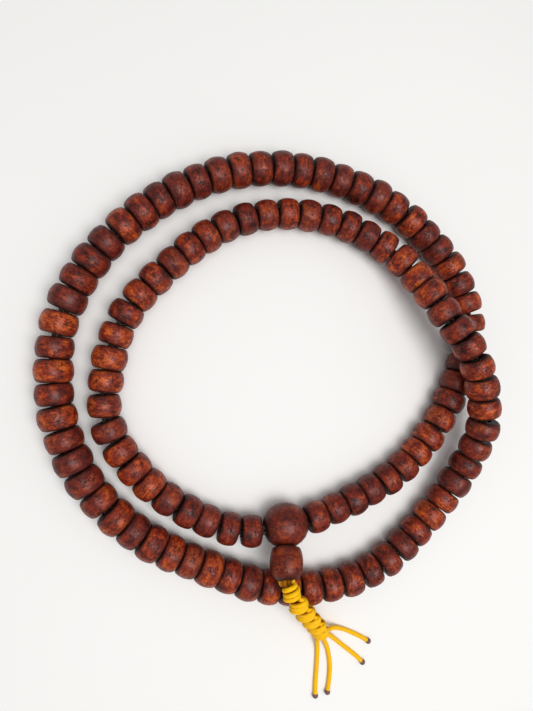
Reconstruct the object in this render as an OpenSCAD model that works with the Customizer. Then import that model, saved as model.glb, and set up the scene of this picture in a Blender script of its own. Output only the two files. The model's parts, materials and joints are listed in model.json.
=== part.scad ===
// Mala prayer beads: 108 seed beads, a guru bead with its tower bead, and a knotted pendant
// with four cord ends, laid out as one closed strand in two turns. Units are millimetres.
// The strand is eight links that hinge at bead gaps; each link carries its own stretch of
// doubled cord, three rigid groups of beads and two beads that turn on the cord.

/* [Strand beads] */
// Bore through each strand bead
bead_bore_d = 3.1; // [3:0.1:3.2]
// Radius of the rounded rim at each end of a bead
bead_rim_r = 1.35; // [1.1:0.05:1.5]
// Radius of the barrel arc along a bead's side
bead_barrel_r = 3.9; // [3.6:0.1:4.1]
// Largest difference in diameter between neighbouring seeds
bead_d_vary = 0.42; // [0:0.02:0.5]
// Largest relative difference in width between neighbouring seeds
bead_w_vary = 0.13; // [0:0.01:0.16]
// Clear gap between neighbouring beads where the cord runs straight
bead_gap = 0.14; // [0.12:0.01:0.2]
// Extra gap for each degree that the cord turns from one bead to the next
turn_gap = 0.046; // [0.044:0.001:0.05]
// Clear gap between beads where two links of the strand hinge
hinge_gap = 0.74; // [0.7:0.02:0.8]

/* [Guru and tower bead] */
// Diameter of the guru bead
guru_d = 10.8; // [10.4:0.1:11.2]
// Width of the guru bead along the strand
guru_w = 10.4; // [10.2:0.1:10.6]
// Bore through the guru bead
guru_bore_d = 2.9; // [2.8:0.1:3]
// Radius of the barrel arc along the guru bead's side
guru_barrel_r = 5.8; // [5.7:0.1:6]
// Radius of the guru bead's rounded shoulders
guru_rim_r = 2.4; // [2.2:0.1:2.6]
// Diameter of the tower bead at its widest
tower_d = 8.0; // [7.6:0.1:8.2]
// Length of the tower bead
tower_h = 7.4; // [7:0.1:7.8]
// Height of the tower bead's widest place above its foot
tower_mid = 3.1; // [3:0.1:3.3]
// Bore through the tower bead
tower_bore_d = 3.4; // [3.2:0.1:3.6]
// Angle at which the tower bead climbs from the table
tower_climb = 32; // [31:1:33]
// Angle by which the tower bead leans to the left of the pendant's -Y direction
tower_lean = 8; // [6:1:8]

/* [Cord] */
// Diameter of the nylon cord
cord_d = 1.1; // [1:0.05:1.15]
// Diameter of the bundle of cords inside the tower bead
bundle_d = 2.6; // [2.4:0.1:2.8]
// Diameter of the knots
knot_d = 4.8; // [4.6:0.1:4.8]
// Length of one knot along the pendant
knot_h = 3.4; // [3.3:0.1:3.5]
// Diameter of the melted bead at the tip of a cord end
tip_d = 1.5; // [1.3:0.1:1.6]

/* [Hidden] */
bead_count = 108;
shift = [-2.1, 10.5, 0];
seed_tint = "sienna";
cord_tint = "goldenrod";
$fn = 48;

// Route of the strand's centre line on the table: x, y and the lift above the table.
// It starts at the guru bead, runs up the left of the inner turn, crosses over the outer
// turn on the right, and closes after the second turn.
route = [
  [3.5, -41, 1.3], [-5, -42, 0.9], [-14.5, -39.5, 0.1], [-27.5, -31, 0],
  [-37, -18.5, 0], [-38.5, -7, 0], [-34.5, 8.5, 0], [-24, 21, 0],
  [-11.5, 30.5, 0], [2.5, 34.5, 0], [17.5, 33, 0.3], [31, 26, 1.8],
  [38, 17.5, 5.2], [43, 9, 8.4], [48.5, 1, 9.6], [52, -8, 8.6],
  [53.5, -17.5, 6.9], [51, -28, 3], [42.5, -41, 0.1], [28.5, -53, 0],
  [14.5, -57, 0], [-0.5, -56, 0], [-15.5, -50, 0], [-30, -42, 0],
  [-41.5, -30.5, 0], [-48, -16.5, 0], [-49.5, -3, 0], [-47.5, 10, 0],
  [-39.5, 24, 0], [-27, 35.5, 0], [-12, 43, 0], [4, 45.5, 0],
  [20, 43, 0], [35, 36, 0], [47, 24.5, 0], [52.5, 14, 0],
  [54, 4.5, 0], [51, -5, 0], [44.5, -18, 0], [33, -30, 0], [15.5, -38.5, 0.4]
];

// Seed diameters along the strand: bead number, diameter.
seed_size = [
  [0, 7.8], [10, 8.1], [22, 7.8], [36, 8.5], [50, 8.4], [65, 8.8], [80, 8.5], [94, 8.6], [109, 7.9]
];

// The strand hinges in the gap after each of these beads. Link k runs from hinge k - 1 to hinge k.
hinge_after = [4, 16, 31, 45, 60, 73, 88, 100];

// Pieces of the strand: first bead, last bead. A piece of one bead turns on its cord.
pieces = [
  [1, 1], [2, 4],
  [5, 7], [8, 8], [9, 12], [13, 13], [14, 16],
  [17, 20], [21, 21], [22, 26], [27, 27], [28, 31],
  [32, 35], [36, 36], [37, 40], [41, 41], [42, 45],
  [46, 49], [50, 50], [51, 55], [56, 56], [57, 60],
  [61, 63], [64, 64], [65, 68], [69, 69], [70, 73],
  [74, 77], [78, 78], [79, 83], [84, 84], [85, 88],
  [89, 91], [92, 92], [93, 96], [97, 97], [98, 100],
  [101, 103], [104, 104], [105, 108]
];

// Centres of the six knots, in order from the tower bead to the cord ends.
knots = [
  [2.8, -54, 13.4], [4.7, -57.3, 12.6], [6.9, -60.2, 10.9],
  [9, -63, 8.9], [11, -65.7, 6.5], [12.8, -68.4, 4]
];

// Centre lines of the four cord ends, from the last knot to the tip.
ends = [
  [
    [12.6, -71.1, 2.6], [12.9, -73, 1.3], [13.1, -75.5, 0.6],
    [12.9, -79.5, 0.6], [12.6, -83.5, 0.6], [12.5, -87, 0.8]
  ],
  [
    [13.7, -70.4, 2.6], [14.9, -72.6, 1.3], [16, -75.5, 0.6],
    [16.5, -79.5, 0.6], [16.2, -83.5, 0.6], [15.6, -86.5, 0.8]
  ],
  [
    [14.8, -69.8, 2.6], [16.8, -71.6, 1.2], [19.4, -74, 0.6],
    [22, -76.2, 0.6], [24.2, -78.2, 0.6], [25.8, -79.9, 0.8]
  ],
  [
    [15.6, -68.8, 2.6], [17.8, -69.4, 1.2], [20.3, -70.4, 0.6],
    [22.7, -71.6, 0.6], [25.2, -73, 0.6], [27.5, -74.5, 0.8]
  ]
];

// A closed smooth curve through the route's points, with its running length.
steps = 16;
function between(a, b, c, d, t) =
  b + t / 2 * (c - a + t * (2 * a - 5 * b + 4 * c - d + t * (3 * b - a - 3 * c + d)));
function route_at(i) = route[(i + len(route)) % len(route)];
curve = [
  for (i = [0 : len(route) - 1], k = [0 : steps - 1])
    between(route_at(i - 1), route_at(i), route_at(i + 1), route_at(i + 2), k / steps),
  route[0]
];
function step_length(i) = i < len(curve) - 1 ? norm(curve[i + 1] - curve[i]) : 0;
run = [for (s = 0, i = 0; i < len(curve); s = s + step_length(i), i = i + 1) s];
route_length = run[len(run) - 1];
along_x = [for (i = [0 : len(curve) - 1]) [run[i], curve[i][0]]];
along_y = [for (i = [0 : len(curve) - 1]) [run[i], curve[i][1]]];
along_z = [for (i = [0 : len(curve) - 1]) [run[i], max(0, curve[i][2])]];
function wrapped(s) = s < 0 ? s + route_length : (s > route_length ? s - route_length : s);
function on_curve(s) = [for (table = [along_x, along_y, along_z]) lookup(wrapped(s), table)];
function unit(v) = v / norm(v);
function heading(s) = unit(on_curve(s + 1.5) - on_curve(s - 1.5));

// Sizes of the beads. Widths share out the length that the guru bead and the gaps leave.
function seed_d(i) = lookup(i, seed_size) + bead_d_vary * ((i * 7 % 17) / 16 - 0.5);
function seed_share(i) = 1 + bead_w_vary * ((i * 11 % 19) / 18 - 0.5);
function is_hinge(i) = len([for (h = hinge_after) if (h == i) 1]) > 0;
function gap_guess(i) = guru_w / 2 + 0.2 + i * (route_length - guru_w - 0.4) / bead_count;
function turn_at(s) = acos(min(1, heading(s - 2.7) * heading(s + 2.7)));
function sharpest_turn(s) = max(turn_at(s - 1.5), turn_at(s + 1.5));
function gap_after(i) = is_hinge(i) ? hinge_gap : bead_gap + turn_gap * sharpest_turn(gap_guess(i));
function total(list, i = 0, s = 0) = i >= len(list) ? s : total(list, i + 1, s + list[i]);
gaps = [for (i = [0 : bead_count]) gap_after(i)];
shares = [for (i = [1 : bead_count]) seed_share(i)];
width_unit = (route_length - guru_w - total(gaps)) / total(shares);
function seed_w(i) = seed_share(i) * width_unit;
start_count = bead_count + 1;
function next_start(s, i) = s + seed_w(i) + gap_after(i);
starts = [for (s = guru_w / 2 + gaps[0], i = 1; i <= start_count; s = next_start(s, i), i = i + 1) s];
function bead_s(i) = i == 0 ? 0 : starts[i - 1] + seed_w(i) / 2;
function bead_lift(i) = i == 0 ? guru_d / 2 : on_curve(bead_s(i))[2] + seed_d(i) / 2;
function over(s, z) = [on_curve(s)[0], on_curve(s)[1], z];
function bead_at(i) = over(bead_s(i), bead_lift(i));
centres = [for (i = [0 : bead_count]) bead_at(i)];
function hinge_s(k) = starts[hinge_after[k]] - hinge_gap / 2;

// A turned bead's outline from y = 0 to y = h: a rounded rim at each end and a barrel side
// whose widest place is at y = mid. The points lie on three arcs that meet smoothly.
arc_steps = 5;
function arc_point(c, r, angle) = c + r * [cos(angle), sin(angle)];
function arc_points(c, r, a, b) = [for (k = [0 : arc_steps]) arc_point(c, r, a + (b - a) * k / arc_steps)];
function turned_points(d, h, mid, barrel, rim_a, rim_b, bore) =
  let (
    xb = d / 2 - barrel,
    xa = xb + sqrt(pow(barrel - rim_a, 2) - pow(mid - rim_a, 2)),
    xc = xb + sqrt(pow(barrel - rim_b, 2) - pow(h - rim_b - mid, 2)),
    ga = atan2(rim_a - mid, xa - xb),
    gc = atan2(h - rim_b - mid, xc - xb),
    low = arc_points([xa, rim_a], rim_a, -90, ga),
    side = arc_points([xb, mid], barrel, ga, gc),
    high = arc_points([xc, h - rim_b], rim_b, gc, 90)
  )
  concat([[bore / 2, 0]], low, [for (k = [1 : arc_steps - 1]) side[k]], high, [[bore / 2, h]]);

module turned(d, h, mid, barrel, rim_a, rim_b, bore) {
  rotate_extrude() polygon(turned_points(d, h, mid, barrel, rim_a, rim_b, bore));
}

// Turns a child's Z axis to a direction and puts it at a point.
module aim(p, v) {
  translate(p) rotate([0, acos(v[2] / norm(v)), atan2(v[1], v[0])]) children();
}

module seed(i) {
  w = seed_w(i);
  aim(centres[i], heading(bead_s(i))) translate([0, 0, -w / 2])
    turned(seed_d(i), w, w / 2, bead_barrel_r, bead_rim_r, bead_rim_r, bead_bore_d);
}

// One closed tube of eight sides along a list of points.
sides = 8;
function side_of(v) = unit(cross(v, [0, 0, 1]));
function tangent(p, i) = unit(p[min(i + 1, len(p) - 1)] - p[max(i - 1, 0)]);
function around(u, w, angle) = cos(angle) * u + sin(angle) * w;
function ring(p, i, r) =
  let (t = tangent(p, i), u = side_of(t), w = cross(u, t))
  [for (k = [0 : sides - 1]) p[i] + r * around(u, w, 360 * k / sides)];
function wall(i, k) =
  let (next = (k + 1) % sides, a = i * sides, b = a + sides)
  [a + k, a + next, b + next, b + k];

module tube(p, r) {
  n = len(p);
  points = [for (i = [0 : n - 1], q = ring(p, i, r[min(i, len(r) - 1)])) q];
  skin = [for (i = [0 : n - 2], k = [0 : sides - 1]) wall(i, k)];
  first = [for (k = [sides - 1 : -1 : 0]) k];
  last = [for (k = [0 : sides - 1]) (n - 1) * sides + k];
  polyhedron(points, concat([first], skin, [last]), convexity = 4);
}

// The strand's doubled cord: each link's stretch starts in its first bead's bore and runs
// a little way past the far hinge, so that the hinge gap shows cord and not air.
cord_in = 1.9;
cord_past = 1.5;
bead_heights = [for (i = [0 : bead_count]) [bead_s(i), centres[i][2]]];
height_table = concat(bead_heights, [[route_length, centres[0][2]]]);
function cord_at(s) = over(s, lookup(wrapped(s), height_table));
function link_first(k) = hinge_after[(k + 7) % 8] + 1;
function link_start(k) = hinge_s((k + 7) % 8) + cord_in;
function link_stop(k) = hinge_s(k) + cord_past;
root_path = concat(
  [cord_at(link_start(0))],
  [for (i = [link_first(0) : bead_count]) cord_at(bead_s(i))],
  [for (m = [-0.5, 0.5]) centres[0] + m * guru_w * heading(0)],
  [for (i = [1 : hinge_after[0]]) cord_at(bead_s(i))],
  [cord_at(link_stop(0))]
);
function link_path(k) = k == 0 ? root_path : concat(
  [cord_at(link_start(k))],
  [for (i = [link_first(k) : hinge_after[k]]) cord_at(bead_s(i))],
  [cord_at(link_stop(k))]
);
function beside(p, d) = [for (i = [0 : len(p) - 1]) p[i] + d * side_of(tangent(p, i))];

module link_cord(k) {
  for (m = [-1, 1]) tube(beside(link_path(k), m * (cord_d / 2 + 0.05)), [cord_d / 2]);
}

// The pendant hangs from the guru bead's side hole and climbs over the outer turn.
climb = [
  -sin(tower_lean) * cos(tower_climb), -cos(tower_lean) * cos(tower_climb), sin(tower_climb)
];
guru_hole_from = 0.6;
tower_barrel_r = 8;
tower_foot_r = 0.6;
tower_top_r = 2.6;
tower_from = guru_d / 2 + 0.02;
tower_tip = centres[0] + (tower_from + tower_h) * climb;
bundle_from = 1.9;
knot_barrel_r = 2.3;
knot_rim_r = 1.1;
knot_clear = 0.02;
knot_neck = 1.8;

module guru_bead() {
  color(seed_tint) difference() {
    aim(centres[0], heading(0))
      translate([0, 0, -guru_w / 2])
        turned(guru_d, guru_w, guru_w / 2, guru_barrel_r, guru_rim_r, guru_rim_r, guru_bore_d);
    aim(centres[0] + guru_hole_from * climb, climb) cylinder(d = tower_bore_d, h = guru_d);
  }
}

module tower_bead() {
  color(seed_tint) aim(centres[0] + tower_from * climb, climb)
    turned(tower_d, tower_h, tower_mid, tower_barrel_r, tower_foot_r, tower_top_r, tower_bore_d);
}

module rod(a, b) {
  aim(a, b - a) cylinder(d = bundle_d, h = norm(b - a));
}

module pendant_cord() {
  color(cord_tint) rod(centres[0] + bundle_from * climb, tower_tip);
}

sinnet = concat([tower_tip], knots);
knot_heading = [for (i = [0 : len(knots) - 1]) tangent(sinnet, i + 1)];

module knot(i) {
  aim(knots[i] - knot_h / 2 * knot_heading[i], knot_heading[i])
    turned(knot_d, knot_h, knot_h / 2, knot_barrel_r, knot_rim_r, knot_rim_r, 0);
}

module knot_sinnet() {
  color(cord_tint) union() {
    for (i = [0 : len(knots) - 1]) knot(i);
    for (i = [1 : len(knots) - 1]) rod(knots[i - 1], knots[i]);
    rod(tower_tip + knot_clear * climb, tower_tip + knot_neck * climb);
  }
}

module cord_end(n) {
  p = ends[n - 1];
  color(cord_tint) tube(p, [for (i = [0 : len(p) - 1]) i == len(p) - 1 ? tip_d / 2 : cord_d / 2]);
}

module strand_piece(k) {
  color(seed_tint) for (i = [pieces[k][0] : pieces[k][1]]) seed(i);
}

module strand_cord(k) {
  color(cord_tint) link_cord(k);
}

// Names: bead_008 is one bead that turns, beads_009_012 is a rigid group of beads.
function three(n) = n < 10 ? str("00", n) : (n < 100 ? str("0", n) : str(n));
function group_name(p) = str("beads_", three(p[0]), "_", three(p[1]));
function piece_name(p) = p[0] == p[1] ? str("bead_", three(p[0])) : group_name(p);
PIECE_NODES = [for (p = pieces) piece_name(p)];
CORD_NODES = [for (k = [1 : 8]) str("strand_cord_", k)];
END_NODES = [for (k = [1 : 4]) str("cord_end_", k)];
PENDANT_NODES = ["guru_bead", "tower_bead", "pendant_cord", "knot_sinnet"];

translate(shift) {
  guru_bead();
  tower_bead();
  pendant_cord();
  knot_sinnet();
  for (n = [1 : 4]) cord_end(n);
  for (k = [0 : 7]) strand_cord(k);
  for (k = [0 : len(pieces) - 1]) strand_piece(k);
}
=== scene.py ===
"""Mala prayer beads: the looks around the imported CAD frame. Lengths are metres unless a name says mm."""
import json
import math
import random

import bpy
import numpy as np
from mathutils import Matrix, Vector


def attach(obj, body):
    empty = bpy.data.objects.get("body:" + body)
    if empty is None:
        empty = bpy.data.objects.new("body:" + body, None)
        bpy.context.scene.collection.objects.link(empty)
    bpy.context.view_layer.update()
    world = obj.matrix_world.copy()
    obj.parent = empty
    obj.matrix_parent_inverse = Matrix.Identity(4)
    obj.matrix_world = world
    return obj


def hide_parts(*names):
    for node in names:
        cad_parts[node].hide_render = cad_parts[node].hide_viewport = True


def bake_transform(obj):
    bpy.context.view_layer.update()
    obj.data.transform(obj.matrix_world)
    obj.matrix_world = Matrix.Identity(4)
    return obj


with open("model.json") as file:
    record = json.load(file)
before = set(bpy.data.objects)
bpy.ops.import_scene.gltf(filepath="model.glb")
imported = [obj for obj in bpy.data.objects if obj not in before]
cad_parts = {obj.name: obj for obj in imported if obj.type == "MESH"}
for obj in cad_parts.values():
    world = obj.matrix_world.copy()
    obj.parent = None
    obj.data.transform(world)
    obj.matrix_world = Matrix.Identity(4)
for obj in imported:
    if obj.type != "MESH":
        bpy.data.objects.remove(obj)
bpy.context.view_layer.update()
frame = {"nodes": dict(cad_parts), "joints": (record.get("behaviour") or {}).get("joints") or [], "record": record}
MM = 0.001
JOINTS = {joint["name"]: joint for joint in frame["joints"]}
BODY_OF = {
    node: body
    for body, members in frame["record"]["behaviour"]["bodies"].items()
    for node in members
}

# ---------------------------------------------------------------- camera

VIEW_CENTRE = Vector((-0.0021, 0.0105, 0))
VIEW_DISTANCE = 0.1375
VIEW_TILT = math.radians(13)
FOCAL_LENGTH_PX = 550
LONG_SIDE_PX = 711
SENSOR_MM = 36
NEAR_CLIP = 0.005


def make_camera():
    data = bpy.data.cameras.new("camera")
    data.sensor_width = SENSOR_MM
    data.lens = FOCAL_LENGTH_PX / LONG_SIDE_PX * SENSOR_MM
    data.clip_start = NEAR_CLIP
    camera = bpy.data.objects.new("camera", data)
    away = Vector((-math.sin(VIEW_TILT), 0, math.cos(VIEW_TILT)))
    camera.location = VIEW_CENTRE + VIEW_DISTANCE * away
    camera.rotation_euler = (0, -VIEW_TILT, 0)
    bpy.context.scene.collection.objects.link(camera)
    bpy.context.scene.camera = camera


make_camera()

# ---------------------------------------------------------------- node helpers


class Shader:
    """A material's node tree, with one short call for each kind of node."""

    def __init__(self, name):
        self.material = bpy.data.materials.new(name)
        self.material.use_nodes = True
        self.tree = self.material.node_tree
        self.surface = self.tree.nodes["Principled BSDF"]

    def node(self, kind, inputs=(), **settings):
        made = self.tree.nodes.new(kind)
        for name, value in settings.items():
            setattr(made, name, value)
        for key, value in dict(inputs).items():
            self.put(made.inputs[key], value)
        return made

    def put(self, socket, value):
        if isinstance(value, bpy.types.NodeSocket):
            self.tree.links.new(value, socket)
        else:
            socket.default_value = value

    def attribute(self, name, output="Fac"):
        return self.node("ShaderNodeAttribute", attribute_name=name).outputs[output]

    def math(self, operation, a, b=0.0, clamp=False):
        made = self.node("ShaderNodeMath", {0: a, 1: b}, operation=operation, use_clamp=clamp)
        return made.outputs[0]

    def total(self, *terms):
        """The sum of (value, share) pairs."""
        made, *rest = [self.math("MULTIPLY", value, share) for value, share in terms]
        for term in rest:
            made = self.math("ADD", made, term)
        return made

    def scaled(self, vector, scale):
        made = self.node("ShaderNodeVectorMath", {0: vector, 1: scale}, operation="MULTIPLY")
        return made.outputs[0]

    def noise(self, vector, scale, detail=3.0, roughness=0.55, distortion=0.0):
        settings = {
            "Vector": vector, "Scale": scale, "Detail": detail,
            "Roughness": roughness, "Distortion": distortion,
        }
        return self.node("ShaderNodeTexNoise", settings).outputs[0]

    def step(self, value, low, high):
        """0 below low and 1 above high, or the other way round where low is above high."""
        flip = low > high
        settings = {
            "Value": value, "From Min": min(low, high), "From Max": max(low, high),
            "To Min": 1.0 if flip else 0.0, "To Max": 0.0 if flip else 1.0,
        }
        made = self.node("ShaderNodeMapRange", settings, interpolation_type="SMOOTHSTEP")
        return made.outputs[0]

    def ramp(self, value, stops):
        made = self.node("ShaderNodeValToRGB", {0: value})
        elements = made.color_ramp.elements
        while len(elements) < len(stops):
            elements.new(0.5)
        for element, (place, colour) in zip(elements, stops):
            element.position = place
            element.color = (*colour, 1)
        return made.outputs[0]

    def mix(self, factor, a, b, blend="MIX"):
        made = self.node("ShaderNodeMix", data_type="RGBA", blend_type=blend)
        self.put(made.inputs[0], factor)
        for socket, value in ((made.inputs[6], a), (made.inputs[7], b)):
            self.put(socket, value if isinstance(value, bpy.types.NodeSocket) else (*value, 1))
        return made.outputs[2]

    def bump(self, height, strength, distance):
        settings = {"Height": height, "Strength": strength, "Distance": distance}
        return self.node("ShaderNodeBump", settings).outputs[0]

    def finish(self, **sockets):
        for name, value in sockets.items():
            self.put(self.surface.inputs[name.replace("_", " ")], value)
        return self.material


# ---------------------------------------------------------------- seed material

# Stops of the colour ramps: a place from 0 to 1, and a linear colour.
SEED_STOPS = [
    (0.12, (0.026, 0.0030, 0.0020)),
    (0.36, (0.120, 0.0115, 0.0050)),
    (0.58, (0.245, 0.0250, 0.0070)),
    (0.86, (0.530, 0.0950, 0.0110)),
]
GURU_STOPS = [
    (0.14, (0.030, 0.0040, 0.0025)),
    (0.38, (0.130, 0.0130, 0.0050)),
    (0.60, (0.220, 0.0230, 0.0070)),
    (0.86, (0.380, 0.0600, 0.0110)),
]
TOWER_SHADE = 0.78
TOWER_STOPS = [(place, tuple(TOWER_SHADE * c for c in colour)) for place, colour in GURU_STOPS]
TONE_SHARE = 0.24
CONTRAST = 1.45
BLOTCH_SHARE, GRAIN_SHARE, FLECK_SHARE = 0.9, 0.75, 0.45
MIDDLE_OF_NOISE = 1.05
PURPLE = (0.090, 0.013, 0.012)
PURPLE_SHARE = 0.5
DARK = (0.012, 0.0025, 0.0020)
# The last of these shares is painted shade towards each bead's ends, where it meets the next bead; the other four
# darken the seed's own marks.
VEIN_DARK, DOT_DARK, DASH_DARK, SPECK_DARK, RIM_PAINTED_SHADE = 0.85, 0.85, 0.80, 0.35, 0.95
GRAIN_HEIGHT, FLECK_HEIGHT, PIT_DEPTH = 0.6, 0.3, 0.6
POLISHED, GRAIN_ROUGH, DARK_ROUGH = 0.27, 0.16, 0.20


def seed_marks(s, place):
    """Short veins, dashes, dots and fine specks, each 1 on the mark and 0 off it."""
    ridge = s.noise(s.scaled(place, (1, 1, 2.0)), 0.62, 3.0, 0.6, 1.2)
    ridge = s.math("ABSOLUTE", s.math("SUBTRACT", ridge, 0.5))
    patch = s.step(s.noise(place, 0.42, 2.0), 0.47, 0.57)
    vein = s.math("MULTIPLY", s.step(ridge, 0.034, 0.006), patch)
    dash = s.step(s.noise(s.scaled(place, (1, 1, 1.9)), 0.85, 2.0, 0.5, 1.4), 0.575, 0.64)
    dash = s.math("MULTIPLY", dash, s.step(s.noise(place, 0.5, 1.0), 0.42, 0.55))
    cells = s.node("ShaderNodeTexVoronoi", {"Vector": place, "Scale": 0.95})
    lot = s.node("ShaderNodeSeparateColor", {0: cells.outputs["Color"]}).outputs[0]
    dot = s.math("MULTIPLY", s.step(cells.outputs["Distance"], 0.26, 0.12), s.step(lot, 0.45, 0.47))
    fine = s.node("ShaderNodeTexVoronoi", {"Vector": place, "Scale": 2.3})
    speck = s.step(fine.outputs["Distance"], 0.28, 0.12)
    return vein, dash, dot, speck


def seed_material(name, stops, grain_scale, vein_depth):
    """Polished seed: mottled red brown with short dark veins, dark dots and pits, and painted
    shade that darkens it towards both ends, where it meets the next bead. seed_co is a bead's
    own place in mm with Z along its bore, and seed_tone, seed_purple and seed_rim_shade (the painted
    shade) run from 0 to 1."""
    s = Shader(name)
    place = s.attribute("seed_co", "Vector")
    blotch = s.noise(place, 0.34, 3.0, 0.6, 0.9)
    grain = s.noise(s.scaled(place, grain_scale), 0.8, 4.0, 0.65, 0.8)
    flecks = s.noise(place, 2.2, 3.0, 0.7, 0.2)
    mottled = s.total((blotch, BLOTCH_SHARE), (grain, GRAIN_SHARE), (flecks, FLECK_SHARE))
    mottled = s.math("MULTIPLY", s.math("SUBTRACT", mottled, MIDDLE_OF_NOISE), CONTRAST)
    shifted = s.math("ADD", mottled, s.math("MULTIPLY", s.attribute("seed_tone"), TONE_SHARE))
    colour = s.ramp(s.math("ADD", shifted, 0.5 - TONE_SHARE / 2), stops)
    purple = s.math("MULTIPLY", s.attribute("seed_purple"), PURPLE_SHARE)
    colour = s.mix(purple, colour, PURPLE)

    vein, dash, dot, speck = seed_marks(s, place)
    # Painted shade towards the bead's ends, where it meets its neighbours, joined with the seed's own dark marks.
    dark = s.math("MULTIPLY", s.attribute("seed_rim_shade"), RIM_PAINTED_SHADE)
    for mark, share in ((vein, VEIN_DARK), (dot, DOT_DARK), (dash, DASH_DARK), (speck, SPECK_DARK)):
        dark = s.math("MAXIMUM", dark, s.math("MULTIPLY", mark, share))
    colour = s.mix(dark, colour, DARK)

    height = s.total((grain, GRAIN_HEIGHT), (flecks, FLECK_HEIGHT))
    height = s.math("SUBTRACT", height, s.math("MULTIPLY", vein, vein_depth))
    height = s.math("SUBTRACT", height, s.math("MULTIPLY", s.math("MAXIMUM", dot, dash), PIT_DEPTH))
    rough = s.math("ADD", POLISHED, s.total((grain, GRAIN_ROUGH), (dark, DARK_ROUGH)))
    return s.finish(
        Base_Color=colour, Roughness=rough, Normal=s.bump(height, 0.7, 0.00010),
        Specular_IOR_Level=0.28,
    )


# ---------------------------------------------------------------- cord materials

YELLOW = (0.97, 0.55, 0.001)
AMBER = (0.72, 0.30, 0.001)
# Painted shade: the colour that the knots' creases are darkened to.
PAINTED_CREASE_SHADE = (0.30, 0.070, 0.002)
# Painted shade of the gaps between beads, with some dirt: the near black colours of the hidden strand cord.
GAP_SHADE_AND_DIRT_DARK = (0.014, 0.005, 0.002)
GAP_SHADE_AND_DIRT = (0.050, 0.020, 0.003)
MELTED = (0.17, 0.085, 0.080)
STRANDS_AROUND = 4.0
STRANDS_PER_MM = 1.15
FIBRES_PER_M = 1800.0
# The weave's and the creases' shares are painted shade; the dirt's and the fibres' shares darken the cord's own
# marks.
WEAVE_PAINTED_SHADE, DIRT_SHADE, FIBRE_SHADE, PAINTED_CREASE_SHARE = 0.45, 0.45, 0.60, 0.85


def braid_height(s, turns, along):
    """Two sets of slanted strands over and under each other, from 0 to 1."""
    around = s.math("MULTIPLY", turns, STRANDS_AROUND)
    forward = s.math("MULTIPLY", along, STRANDS_PER_MM)
    slant_a = s.math("ADD", around, forward)
    slant_b = s.math("SUBTRACT", around, forward)
    wave_a = s.math("ABSOLUTE", s.math("SINE", s.math("MULTIPLY", slant_a, math.pi)))
    wave_b = s.math("ABSOLUTE", s.math("SINE", s.math("MULTIPLY", slant_b, math.pi)))
    return s.math("MULTIPLY", wave_a, wave_b)


def braided_material():
    """Golden braided nylon. cord_co is (turns round the cord, mm along it, melted), and
    cord_painted_shade is 1 where the cord lies in a crease of a knot and gets painted shade. The low
    places of the weave get painted shade as well."""
    s = Shader("braided_nylon")
    split = s.node("ShaderNodeSeparateXYZ", {0: s.attribute("cord_co", "Vector")})
    turns, along, melted = split.outputs
    weave = braid_height(s, turns, along)
    place = s.node("ShaderNodeCombineXYZ", {0: s.math("MULTIPLY", turns, 3.5), 1: along})
    dirt = s.noise(place.outputs[0], 0.55, 4.0, 0.6)
    fibre = s.noise(s.scaled(place.outputs[0], (6.0, 1.2, 1.0)), 1.6, 2.0)
    # Painted shade in the low places between the braid's strands, joined with dirt patches and fibre lines in the
    # cord's own colour.
    shade_and_dirt = s.math("MULTIPLY", s.step(weave, 0.45, 0.0), WEAVE_PAINTED_SHADE)
    shade_and_dirt = s.math("MAXIMUM", shade_and_dirt, s.math("MULTIPLY", s.step(dirt, 0.50, 0.68), DIRT_SHADE))
    shade_and_dirt = s.math("MAXIMUM", shade_and_dirt, s.math("MULTIPLY", s.step(fibre, 0.52, 0.66), FIBRE_SHADE))
    colour = s.mix(shade_and_dirt, YELLOW, AMBER)
    # Painted shade in the knots' creases, on the side of each wrap that faces the sinnet's middle.
    colour = s.mix(s.math("MULTIPLY", s.attribute("cord_painted_shade"), PAINTED_CREASE_SHARE), colour, PAINTED_CREASE_SHADE)
    colour = s.mix(s.step(melted, 0.3, 0.7), colour, MELTED)
    height = s.math("ADD", weave, s.math("MULTIPLY", fibre, 0.35))
    height = s.math("MULTIPLY", height, s.step(melted, 0.6, 0.2))
    rough = s.math("SUBTRACT", 0.52, s.math("MULTIPLY", melted, 0.18))
    return s.finish(
        Base_Color=colour, Roughness=rough, Normal=s.bump(height, 0.6, 0.00008),
        Specular_IOR_Level=0.15,
    )


def hidden_cord_material():
    """The same cord in the gaps between beads, painted near black: painted shade of the gaps, with some dirt."""
    s = Shader("strand_nylon")
    place = s.node("ShaderNodeTexCoord").outputs["Object"]
    fibre = s.noise(place, FIBRES_PER_M, 3.0)
    colour = s.mix(s.step(fibre, 0.35, 0.7), GAP_SHADE_AND_DIRT_DARK, GAP_SHADE_AND_DIRT)
    return s.finish(Base_Color=colour, Roughness=0.6, Normal=s.bump(fibre, 0.5, 0.00006))


SEED = seed_material("seed", SEED_STOPS, (0.5, 0.5, 1.8), 1.0)
GURU = seed_material("guru_seed", GURU_STOPS, (1.6, 1.6, 0.22), 1.3)
TOWER = seed_material("tower_seed", TOWER_STOPS, (0.22, 0.22, 1.9), 1.6)
BRAID = braided_material()
STRAND = hidden_cord_material()

# ---------------------------------------------------------------- mesh helpers


def mesh_object(name, points, faces, material, attributes):
    """One smooth mesh. attributes is {name: array of one number or three for each point}."""
    mesh = bpy.data.meshes.new(name)
    mesh.from_pydata(points.tolist(), [], faces)
    for key, values in attributes.items():
        values = np.asarray(values, np.float32)
        kind, field = ("FLOAT", "value") if values.ndim == 1 else ("FLOAT_VECTOR", "vector")
        mesh.attributes.new(key, kind, "POINT").data.foreach_set(field, values.ravel())
    mesh.shade_smooth()
    mesh.materials.append(material)
    made = bpy.data.objects.new(name, mesh)
    bpy.context.scene.collection.objects.link(made)
    return made


def unit(vector):
    vector = np.asarray(vector, float)
    return vector / np.linalg.norm(vector)


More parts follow.
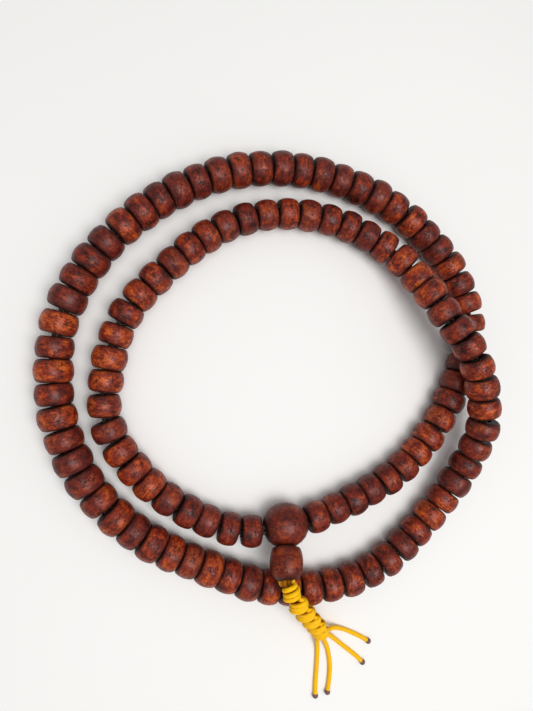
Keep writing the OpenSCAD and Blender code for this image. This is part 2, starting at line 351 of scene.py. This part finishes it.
CURVE_STEPS = 24


def smooth_line(points, step):
    """Points a step apart on a Catmull-Rom curve through the given ones."""
    p = np.asarray(points, float)
    p = np.vstack([2 * p[0] - p[1], p, 2 * p[-1] - p[-2]])
    line = []
    for a, b, c, d in zip(p, p[1:], p[2:], p[3:]):
        for t in np.linspace(0, 1, CURVE_STEPS, endpoint=False):
            bend = 2 * a - 5 * b + 4 * c - d + t * (3 * b - a - 3 * c + d)
            line.append(b + t / 2 * (c - a + t * bend))
    return respaced(np.array(line + [p[-2]]), step)


def respaced(line, step):
    """The same line with its points about a step apart."""
    lengths = np.linalg.norm(np.diff(line, axis=0), axis=1)
    run = np.concatenate([[0], np.cumsum(lengths)])
    places = np.linspace(0, run[-1], max(2, round(run[-1] / step) + 1))
    return np.stack([np.interp(places, run, line[:, k]) for k in range(3)], axis=1)


def length_of(line):
    return float(np.linalg.norm(np.diff(line, axis=0), axis=1).sum())


# ---------------------------------------------------------------- pendant cords

# The routes are the CAD model's own, in mm before its shift.
CAD_SHIFT_MM = np.array([-2.1, 10.5, 0])
KNOTS_MM = np.array([
    (2.8, -54, 13.4), (4.7, -57.3, 12.6), (6.9, -60.2, 10.9),
    (9, -63, 8.9), (11, -65.7, 6.5), (12.8, -68.4, 4),
]) + CAD_SHIFT_MM
ENDS_MM = [np.array(route) + CAD_SHIFT_MM for route in (
    [(12.6, -71.1, 2.6), (12.9, -73, 1.3), (13.1, -75.5, 0.6),
     (12.9, -79.5, 0.6), (12.6, -83.5, 0.6), (12.5, -87, 0.8)],
    [(13.7, -70.4, 2.6), (14.9, -72.6, 1.3), (16, -75.5, 0.6),
     (16.5, -79.5, 0.6), (16.2, -83.5, 0.6), (15.6, -86.5, 0.8)],
    [(14.8, -69.8, 2.6), (16.8, -71.6, 1.2), (19.4, -74, 0.6),
     (22, -76.2, 0.6), (24.2, -78.2, 0.6), (25.8, -79.9, 0.8)],
    [(15.6, -68.8, 2.6), (17.8, -69.4, 1.2), (20.3, -70.4, 0.6),
     (22.7, -71.6, 0.6), (25.2, -73, 0.6), (27.5, -74.5, 0.8)],
)]
KNOT_COUNT = len(KNOTS_MM)
CORD_D_MM = 1.1
CORD_SIDES = 14
RING_STEP_MM = 0.28
TIP_D_MM = 1.5
TIP_LENGTH_MM = 1.5
TIP_BLEND_MM = 0.5
TIP_END_R_MM = 0.12

# The two cords that wind round the others, once and a half times each in every knot.
LINE_STEP_MM = 0.1
KNOT_TURNS = 1.5
KNOT_SHARE = 0.80
KNOT_START_MM = 2.4
KNOT_GIRTHS = (0.90, 1.0, 1.04, 0.98, 1.03, 0.92)
WRAP_R_MM = 1.80
WRAP_SWELL = 1.10
WAIST_R_MM = 1.45
LEAST_R_MM = 0.62
FIRST_ANGLE = 0.6
BULGE_POWER = 0.6
ENTRY_TAPER = 3
LEVEL_SHARE = 0.85
UPRIGHT_SHARE = 0.8
LOOP_OUT_MM = 1.5
LOOP_REACH = 0.6
EASE_POINTS = 5

# The two cords that run straight through the knots.
CORE_APART_MM = 1.12
CORE_EVERY = 14

GURU_AT_MM = np.array(JOINTS["pendant_lift"]["pos_m"]) / MM
GURU_AXIS = unit(JOINTS["pendant_lift"]["axis"])
CLIMB = unit(JOINTS["tower_bead_turn"]["axis"])
GURU_D_MM = 10.8
TOWER_GAP_MM = 0.02
TOWER_FOOT_MM = GURU_D_MM / 2 + TOWER_GAP_MM
TOWER_H_MM = 7.4
TOWER_TIP_MM = GURU_AT_MM + (TOWER_FOOT_MM + TOWER_H_MM) * CLIMB
CORD_START_MM = TOWER_TIP_MM - 2.0 * CLIMB
CORD_EXIT_MM = TOWER_TIP_MM + 0.3 * CLIMB
LAST_STEP_MM = KNOTS_MM[-1] - KNOTS_MM[-2]


def sinnet_line():
    """The middle of the sinnet, from inside the tower bead to just past the last knot."""
    after = KNOTS_MM[-1] + 0.45 * LAST_STEP_MM
    return smooth_line([CORD_START_MM, CORD_EXIT_MM, *KNOTS_MM, after], LINE_STEP_MM)


def heading_at(line, i):
    return unit(line[min(i + 1, len(line) - 1)] - line[max(i - 1, 0)])


def clamped(value, low=0, high=1):
    return min(max(value, low), high)


def across(heading):
    """Two directions across the sinnet: one nearly level, and one nearly upright."""
    level = unit(np.cross(heading, (0, 0, 1)))
    level = level if level[0] > 0 else -level
    level = unit((1 - LEVEL_SHARE) * level + LEVEL_SHARE * np.array((1, 0, 0)))
    over = unit(np.cross(level, heading))
    over = over if over[2] > 0 else -over
    return level, unit((1 - UPRIGHT_SHARE) * over + UPRIGHT_SHARE * np.array((0, 0, 1)))


def knot_phase(line):
    """At each point of the sinnet, how many knots it has passed: 0 at the first one's start."""
    middles = [int(np.argmin(np.linalg.norm(line - knot, axis=1))) for knot in KNOTS_MM]
    half = (middles[1] - middles[0]) / 2
    start = middles[0] - round(KNOT_START_MM / float(np.linalg.norm(line[1] - line[0])))
    places = [start, *middles, middles[-1] + half]
    passed = [0, *(k + 0.5 for k in range(KNOT_COUNT)), KNOT_COUNT]
    return np.interp(np.arange(len(line)), places, passed)


def wrapped_route(side):
    """A cord that winds round the sinnet in six tight knots, one and a half turns to a knot.
    side is 0 or 1. The knots' wraps lie nearly level, so the knots stand like stairs. The first
    cord bows out between the tower bead and the first knot."""
    line = sinnet_line()
    phase = knot_phase(line)
    pitch = float(np.linalg.norm(KNOTS_MM[1] - KNOTS_MM[0]))
    out = []
    for i in range(len(line)):
        heading = heading_at(line, i)
        level, over = across(heading)
        knot = clamped(math.floor(phase[i]), 0, KNOT_COUNT - 1)
        part = clamped(phase[i] - knot) - 0.5
        turned = clamped(part / KNOT_SHARE + 0.5)
        angle = 2 * math.pi * (KNOT_TURNS * (knot + turned) + side / 2) + FIRST_ANGLE
        inside = clamped((0.5 - abs(part)) / (0.5 - KNOT_SHARE / 2))
        girth = WRAP_R_MM * KNOT_GIRTHS[knot]
        radius = WAIST_R_MM + (girth - WAIST_R_MM) * inside ** BULGE_POWER
        before = -min(phase[i], 0)
        after = max(phase[i] - KNOT_COUNT, 0)
        radius = max(radius * (1 - ENTRY_TAPER * before - after), LEAST_R_MM)
        stairs = -part * pitch * float(heading @ level) * inside
        point = line[i] + radius * (math.cos(angle) * level + math.sin(angle) * over)
        point = point + stairs * level
        if side == 0 and 0 < before < LOOP_REACH:
            bow = LOOP_OUT_MM * math.sin(math.pi * before / LOOP_REACH)
            point = point + bow * unit(0.5 * over - level)
        out.append(point)
    return eased(np.array(out), EASE_POINTS)


def core_route(side):
    """A cord that runs straight through the knots."""
    line = sinnet_line()
    out = []
    for i in range(0, len(line), CORE_EVERY):
        level, _ = across(heading_at(line, i))
        out.append(line[i] + (side - 0.5) * CORE_APART_MM * level)
    return out


def eased(line, width):
    """The line with its kinks rounded off, by a mean over width points. Its ends stay."""
    half = width // 2
    padded = np.pad(line, ((half, half), (0, 0)), mode="reflect", reflect_type="odd")
    weights = np.ones(width) / width
    return np.stack([np.convolve(padded[:, k], weights, mode="valid") for k in range(3)], axis=1)


def out_of_sinnet(line):
    """For each point of a cord: the direction away from the sinnet's middle, and 1 where the
    cord is in the knots and 0 past them."""
    middle = sinnet_line()[::4]
    away = line[:, None] - middle[None]
    nearest = away[np.arange(len(line)), np.linalg.norm(away, axis=2).argmin(1)]
    last = KNOTS_MM[-1] + 0.5 * LAST_STEP_MM
    past = np.clip((line - last) @ unit(LAST_STEP_MM) + 0.5, 0, 1)
    return nearest / np.maximum(np.linalg.norm(nearest, axis=1), 0.1)[:, None], 1 - past


def cord_radius(from_tip):
    """The cord's radius at each distance from its tip, with a melted bead at the tip."""
    middle = TIP_LENGTH_MM * 0.5
    swell = np.sqrt(np.clip(1 - ((from_tip - middle) / (TIP_LENGTH_MM * 0.52)) ** 2, 0, 1))
    radius = np.maximum(CORD_D_MM / 2 * (from_tip > middle), TIP_D_MM / 2 * swell)
    return np.maximum(radius, TIP_END_R_MM)


def cord_tube(name, line_mm, wraps):
    """A braided tube along a line, with a melted bead at its far end. Where it wraps the knots
    it is a little thicker, and carries painted shade on the side that faces the sinnet's middle."""
    line = respaced(smooth_line(line_mm, RING_STEP_MM), RING_STEP_MM)
    count = len(line)
    run = np.arange(count) * length_of(line) / (count - 1)
    from_tip = run[-1] - run
    melted = np.clip((TIP_LENGTH_MM - from_tip) / TIP_BLEND_MM, 0, 1)
    radius = cord_radius(from_tip)
    outward, knotted = out_of_sinnet(line)
    if wraps:
        radius = radius * (1 + (WRAP_SWELL - 1) * knotted)
    tangents = np.gradient(line, axis=0)
    tangents /= np.linalg.norm(tangents, axis=1)[:, None]
    side = unit(np.cross(tangents[0], (0.3, 0.2, 1)))
    points, coords, deep = [], [], []
    for i in range(count):
        side = unit(side - side.dot(tangents[i]) * tangents[i])
        up = np.cross(tangents[i], side)
        for k in range(CORD_SIDES):
            angle = 2 * math.pi * k / CORD_SIDES
            facing = math.cos(angle) * side + math.sin(angle) * up
            # Painted shade of the knots' creases, gathered in deep: 1 on the side of a wrap that faces the
            # sinnet's middle, 0 on its outside.
            inward = clamped((0.62 - facing @ outward[i]) / 0.5) if wraps else 1
            points.append(line[i] + radius[i] * facing)
            coords.append((abs(2 * k / CORD_SIDES - 1), run[i], melted[i]))
            deep.append(knotted[i] * inward)
    faces = []
    for i in range(count - 1):
        for k in range(CORD_SIDES):
            a, b = i * CORD_SIDES + k, i * CORD_SIDES + (k + 1) % CORD_SIDES
            faces.append((a, b, b + CORD_SIDES, a + CORD_SIDES))
    faces.append(tuple(reversed(range(CORD_SIDES))))
    faces.append(tuple(range((count - 1) * CORD_SIDES, count * CORD_SIDES)))
    attributes = {"cord_co": np.array(coords), "cord_painted_shade": np.array(deep)}
    made = mesh_object(name, np.array(points) * MM, faces, BRAID, attributes)
    return made, line * MM


def make_pendant_cord(number, inner_route, replaced, wraps):
    end = ENDS_MM[number - 1]
    made, path = cord_tube(f"pendant_cord_{number}", [*inner_route, *end], wraps)
    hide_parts(f"cord_end_{number}", *replaced)
    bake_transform(made)


make_pendant_cord(1, wrapped_route(0), ["knot_sinnet"], True)
make_pendant_cord(2, core_route(0), ["pendant_cord"], False)
make_pendant_cord(3, core_route(1), ["pendant_cord"], False)
make_pendant_cord(4, wrapped_route(1), ["knot_sinnet"], True)

# ---------------------------------------------------------------- beads

BARREL_R_MM = 4.6
RIM_R_MM = 1.0
BORE_D_MM = 3.1
GURU_W_MM = 10.4
GURU_BARREL_R_MM = 5.8
GURU_RIM_R_MM = 2.4
GURU_BORE_D_MM = 2.9
TOWER_D_MM = 8.0
TOWER_WIDEST_MM = 3.1
TOWER_BARREL_R_MM = 8
TOWER_FOOT_RIM_R_MM = 0.6
TOWER_TOP_RIM_R_MM = 2.6
TOWER_BORE_D_MM = 3.4
CHAMFER_MM = 0.12
CHAMFER_DEEP_MM = 0.18

# How far a bead may widen towards its neighbours.
TIGHT_GAP_MM = 0.03
TOUCH_MM = -0.10
FLEX_GAP_MM = 0.7
FLEX_TURN = math.radians(4)
MOST_ROOM_MM = 0.25

# Each bead's wear, in mm, and its mesh.
WAVE_LONG_MM, WAVE_DEEP_MM = 6.0, 0.055
RIPPLE_LONG_MM, RIPPLE_DEEP_MM = 1.7, 0.012
PIT_DEEP_MM = 0.16
PITS = (2, 5)
PATTERN_REACH_MM = 40
AROUND = 60
ARC_POINTS = 9


def outline(d, h, mid, barrel, rim_a, rim_b, bore):
    """A turned bead's half outline: (radius, height) pairs on three arcs that meet smoothly,
    and a chamfered bore."""
    xb = d / 2 - barrel
    xa = xb + math.sqrt((barrel - rim_a) ** 2 - (mid - rim_a) ** 2)
    xc = xb + math.sqrt((barrel - rim_b) ** 2 - (h - rim_b - mid) ** 2)
    low = math.atan2(rim_a - mid, xa - xb)
    high = math.atan2(h - rim_b - mid, xc - xb)

    def arc(x, y, r, a, b):
        angles = np.linspace(a, b, ARC_POINTS)
        return [(x + r * math.cos(t), y + r * math.sin(t)) for t in angles]

    points = arc(xa, rim_a, rim_a, -math.pi / 2, low)
    points += arc(xb, mid, barrel, low, high)[1:-1]
    points += arc(xc, h - rim_b, rim_b, high, math.pi / 2)
    wall, mouth = bore / 2, bore / 2 + CHAMFER_MM
    inner = [(mouth, h), (wall, h - CHAMFER_DEEP_MM), (wall, h / 2), (wall, CHAMFER_DEEP_MM)]
    return np.array([(mouth, 0.0), *points, *inner])


def lumps(points, rng, size, count=5):
    """Smooth waves from -1 to 1 over the points, about size long."""
    total = np.zeros(len(points))
    for _ in range(count):
        direction = unit([rng.gauss(0, 1) for _ in range(3)])
        length = size * rng.uniform(0.7, 1.4)
        total += np.sin(points @ direction * 2 * math.pi / length + rng.uniform(0, 6.28))
    return total / count ** 0.5


def dents(points, rng, radius, length, count, depth):
    """How deep small pits go at each point."""
    deep = np.zeros(len(points))
    for _ in range(count):
        angle = rng.uniform(0, 2 * math.pi)
        z = rng.uniform(0.18, 0.82) * length
        middle = np.array((radius * math.cos(angle), radius * math.sin(angle), z))
        size = rng.uniform(0.28, 0.5)
        away = np.linalg.norm(points - middle, axis=1) / size
        deep = np.maximum(deep, depth * rng.uniform(0.5, 1) * np.clip(1 - away ** 2, 0, 1))
    return deep


def worn(local, d, h, bore, rng):
    """A turned bead's points with its outside worn uneven and pitted."""
    reach = np.linalg.norm(local[:, :2], axis=1)
    outside = np.clip((reach - bore / 2 - 0.2) / (d / 2 - bore / 2), 0, 1)
    wear = WAVE_DEEP_MM * (1 + np.clip(lumps(local, rng, WAVE_LONG_MM), -1, 1))
    wear = wear + RIPPLE_DEEP_MM * (1 + np.clip(lumps(local, rng, RIPPLE_LONG_MM), -1, 1))
    wear = wear + dents(local, rng, d / 2, h, rng.randint(*PITS), PIT_DEEP_MM)
    shrink = 1 - outside * wear / np.maximum(reach, 0.1)
    return local * np.stack([shrink, shrink, np.ones(len(local))], axis=1)


def turned_bead(shape, centre, axis, rng):
    """Points, faces and attributes of one bead. shape is what outline() takes."""
    d, h, bore = shape[0], shape[1], shape[6]
    profile = outline(*shape)
    rows = len(profile)
    angles = np.linspace(0, 2 * math.pi, AROUND, endpoint=False)
    radial = np.stack([np.cos(angles), np.sin(angles)], axis=1)
    local = np.zeros((rows, AROUND, 3))
    local[:, :, :2] = profile[:, None, :1] * radial[None]
    local[:, :, 2] = profile[:, 1:2]
    local = local.reshape(-1, 3)
    points = worn(local, d, h, bore, rng)
    # Painted shade: 1 at the bead's two ends, where it meets its neighbours, falling to 0 at 0.22 of its width
    # from each end.
    edge = np.minimum(local[:, 2], h - local[:, 2])
    rim_shade = np.clip(1 - edge / (0.22 * h), 0, 1) ** 1.6
    spin = rng.uniform(0, 2 * math.pi)
    offset = np.array([rng.uniform(-PATTERN_REACH_MM, PATTERN_REACH_MM) for _ in range(3)])
    cos, sin = math.cos(spin), math.sin(spin)
    turned = points[:, :2] @ np.array([[cos, -sin], [sin, cos]])
    side = unit(np.cross(axis, (0, 0, 1)))
    up = np.cross(side, axis)
    placed = centre + turned[:, :1] * side + turned[:, 1:] * up + (points[:, 2:] - h / 2) * axis
    faces = []
    for i in range(rows):
        row, below = i * AROUND, (i + 1) % rows * AROUND
        for k in range(AROUND):
            after = (k + 1) % AROUND
            faces.append((row + k, row + after, below + after, below + k))
    tone = rng.random()
    purple = max(0.0, rng.uniform(-0.5, 1))
    attributes = {
        "seed_co": local + offset,
        "seed_tone": np.full(len(local), tone),
        "seed_purple": np.full(len(local), purple),
        "seed_rim_shade": rim_shade,
    }
    return placed * MM, faces, attributes


def joined(parts):
    """Several beads as one mesh's points, faces and attributes."""
    points, faces, attributes, start = [], [], {}, 0
    for some_points, some_faces, some in parts:
        points.append(some_points)
        faces += [tuple(start + v for v in face) for face in some_faces]
        start += len(some_points)
        for key, values in some.items():
            attributes.setdefault(key, []).append(values)
    return np.vstack(points), faces, {key: np.concatenate(v) for key, v in attributes.items()}


def solids_of(node):
    """The separate closed solids of a CAD node, each as an array of triangles in mm."""
    mesh = frame["nodes"][node].data
    mesh.calc_loop_triangles()
    places = np.array([v.co for v in mesh.vertices]) / MM
    keys = {}
    welded = [keys.setdefault(tuple(np.round(p, 4)), len(keys)) for p in places]
    parent = list(range(len(keys)))

    def root(v):
        while parent[v] != v:
            parent[v] = parent[parent[v]]
            v = parent[v]
        return v

    triangles = [tuple(t.vertices) for t in mesh.loop_triangles]
    for a, b, c in triangles:
        first = root(welded[a])
        parent[root(welded[b])] = first
        parent[root(welded[c])] = first
    groups = {}
    for triangle in triangles:
        groups.setdefault(root(welded[triangle[0]]), []).append(places[list(triangle)])
    return [np.array(group) for group in groups.values()]


def measured(triangles):
    """A turned solid's centre and axis, from its volume's moments, its diameter and its width."""
    a, b, c = triangles[:, 0], triangles[:, 1], triangles[:, 2]
    middle = triangles.reshape(-1, 3).mean(0)
    a, b, c = a - middle, b - middle, c - middle
    det = np.einsum("ij,ij->i", a, np.cross(b, c))
    total = a + b + c
    centre = np.einsum("i,ij->j", det, total) / 4 / det.sum()
    moment = np.einsum("i,ij,ik->jk", det, total, total)
    for corner in (a, b, c):
        moment += np.einsum("i,ij,ik->jk", det, corner, corner)
    spread = moment / 20 / det.sum() - np.outer(centre, centre)
    axis = np.linalg.eigh(spread)[1][:, 0]
    axis = axis if axis[0] + 0.01 * axis[1] > 0 else -axis
    centre = centre + middle
    away = triangles.reshape(-1, 3) - centre
    along = away @ axis
    reach = np.linalg.norm(away - along[:, None] * axis, axis=1)
    return centre, axis, 2 * reach.max(), np.ptp(along)


def room(bead, sign):
    """How much wider a bead's end may be before it meets the next bead on the strand. Beads
    that never move against each other may just touch."""
    centre, axis, d, w, node = bead
    ahead = centre + sign * axis * w
    others = [other for other in ALL_BEADS if np.linalg.norm(other[0] - centre) > 1]
    other = min(others, key=lambda one: np.linalg.norm(one[0] - ahead))
    turn = math.acos(min(1, abs(float(axis @ other[1]))))
    gap = float(np.linalg.norm(other[0] - centre)) - (w + other[3]) / 2
    spare = TOUCH_MM if other[4] == node else TIGHT_GAP_MM
    if gap > FLEX_GAP_MM:
        turn += FLEX_TURN
    return clamped((gap - (d / 2 - RIM_R_MM) * turn - spare) / 2, 0, MOST_ROOM_MM)


def show_beads(node, parts, material):
    """The visible mesh in place of a CAD node's beads, on that node's body."""
    points, faces, attributes = joined(parts)
    made = mesh_object(f"looks_{node}", points, faces, material, attributes)
    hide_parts(node)
    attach(made, BODY_OF[node])


def make_beads(node):
    rng = random.Random(f"mala {node}")
    parts = []
    for bead in BEADS[node]:
        centre, axis, d, w, _ = bead
        low, high = room(bead, -1), room(bead, 1)
        wide = w + low + high
        shape = (d, wide, wide / 2, BARREL_R_MM, RIM_R_MM, RIM_R_MM, BORE_D_MM)
        parts.append(turned_bead(shape, centre + axis * (high - low) / 2, axis, rng))
    show_beads(node, parts, SEED)


def make_guru():
    shape = (
        GURU_D_MM, GURU_W_MM, GURU_W_MM / 2, GURU_BARREL_R_MM,
        GURU_RIM_R_MM, GURU_RIM_R_MM, GURU_BORE_D_MM,
    )
    bead = turned_bead(shape, GURU_AT_MM, GURU_AXIS, random.Random("mala guru"))
    show_beads("guru_bead", [bead], GURU)


def make_tower():
    shape = (
        TOWER_D_MM, TOWER_H_MM, TOWER_WIDEST_MM, TOWER_BARREL_R_MM,
        TOWER_FOOT_RIM_R_MM, TOWER_TOP_RIM_R_MM, TOWER_BORE_D_MM,
    )
    centre = GURU_AT_MM + (TOWER_FOOT_MM + TOWER_H_MM / 2) * CLIMB
    bead = turned_bead(shape, centre, CLIMB, random.Random("mala tower"))
    show_beads("tower_bead", [bead], TOWER)


BEADS = {}
for bead_node in sorted(frame["nodes"]):
    if bead_node.startswith("bead"):
        found = [(*measured(triangles), bead_node) for triangles in solids_of(bead_node)]
        found.sort(key=lambda bead: (round(bead[0][0], 1), round(bead[0][1], 1)))
        BEADS[bead_node] = found
ALL_BEADS = [bead for beads in BEADS.values() for bead in beads]
ALL_BEADS.append((GURU_AT_MM, GURU_AXIS, GURU_D_MM, GURU_W_MM, "guru_bead"))
for bead_node in BEADS:
    make_beads(bead_node)
make_guru()
make_tower()


def dress(node, material):
    """A CAD node whose shape stays gets its material."""
    made = frame["nodes"][node]
    made.data.materials.clear()
    made.data.materials.append(material)
    made.data.shade_smooth()


for cord_node in sorted(frame["nodes"]):
    if cord_node.startswith("strand_cord"):
        dress(cord_node, STRAND)

# ---------------------------------------------------------------- stage and light

FLOOR_HALF = 1.5
FLOOR_TONES = (0.79, 0.79, 0.785), (0.83, 0.83, 0.825)
SKY = (1.0, 0.995, 0.985)
SKY_LOW = 0.30
SKY_HIGH = 0.58
# Each light's name, place, diameter, watts and colour.
LIGHTS = (
    ("key", (0.10, -0.08, 0.42), 0.26, 0.90, (1.0, 0.985, 0.965)),
    ("overhead", (-0.02, 0.02, 0.5), 0.34, 0.75, (1.0, 0.995, 0.985)),
)


def make_floor():
    s = Shader("floor")
    place = s.node("ShaderNodeTexCoord").outputs["Object"]
    s.finish(Base_Color=s.mix(s.noise(place, 6.0, 2.0), *FLOOR_TONES), Roughness=0.75)
    corners = FLOOR_HALF * np.array([(-1, -1, 0), (1, -1, 0), (1, 1, 0), (-1, 1, 0)])
    floor = mesh_object("floor", corners, [(0, 1, 2, 3)], s.material, {})


def area_light(name, place, size, power, colour):
    """A round lamp that points at the frame's origin."""
    data = bpy.data.lights.new(name, "AREA")
    data.shape = "DISK"
    data.size = size
    data.energy = power
    data.color = colour
    light = bpy.data.objects.new(name, data)
    light.location = place
    light.rotation_euler = (-Vector(place)).to_track_quat("-Z", "Y").to_euler()
    bpy.context.scene.collection.objects.link(light)


def make_world():
    """Soft light from all round, a little brighter overhead than at the horizon."""
    world = bpy.data.worlds.new("studio")
    world.use_nodes = True
    nodes, links = world.node_tree.nodes, world.node_tree.links
    background = nodes["Background"]
    background.inputs["Color"].default_value = (*SKY, 1)
    direction = nodes.new("ShaderNodeSeparateXYZ")
    links.new(nodes.new("ShaderNodeTexCoord").outputs["Generated"], direction.inputs[0])
    rise = nodes.new("ShaderNodeMapRange")
    rise.inputs["To Min"].default_value = SKY_LOW
    rise.inputs["To Max"].default_value = SKY_HIGH
    links.new(direction.outputs[2], rise.inputs["Value"])
    links.new(rise.outputs[0], background.inputs["Strength"])
    bpy.context.scene.world = world


make_floor()
make_world()
for settings in LIGHTS:
    area_light(*settings)
bpy.context.scene.view_settings.view_transform = "Standard"
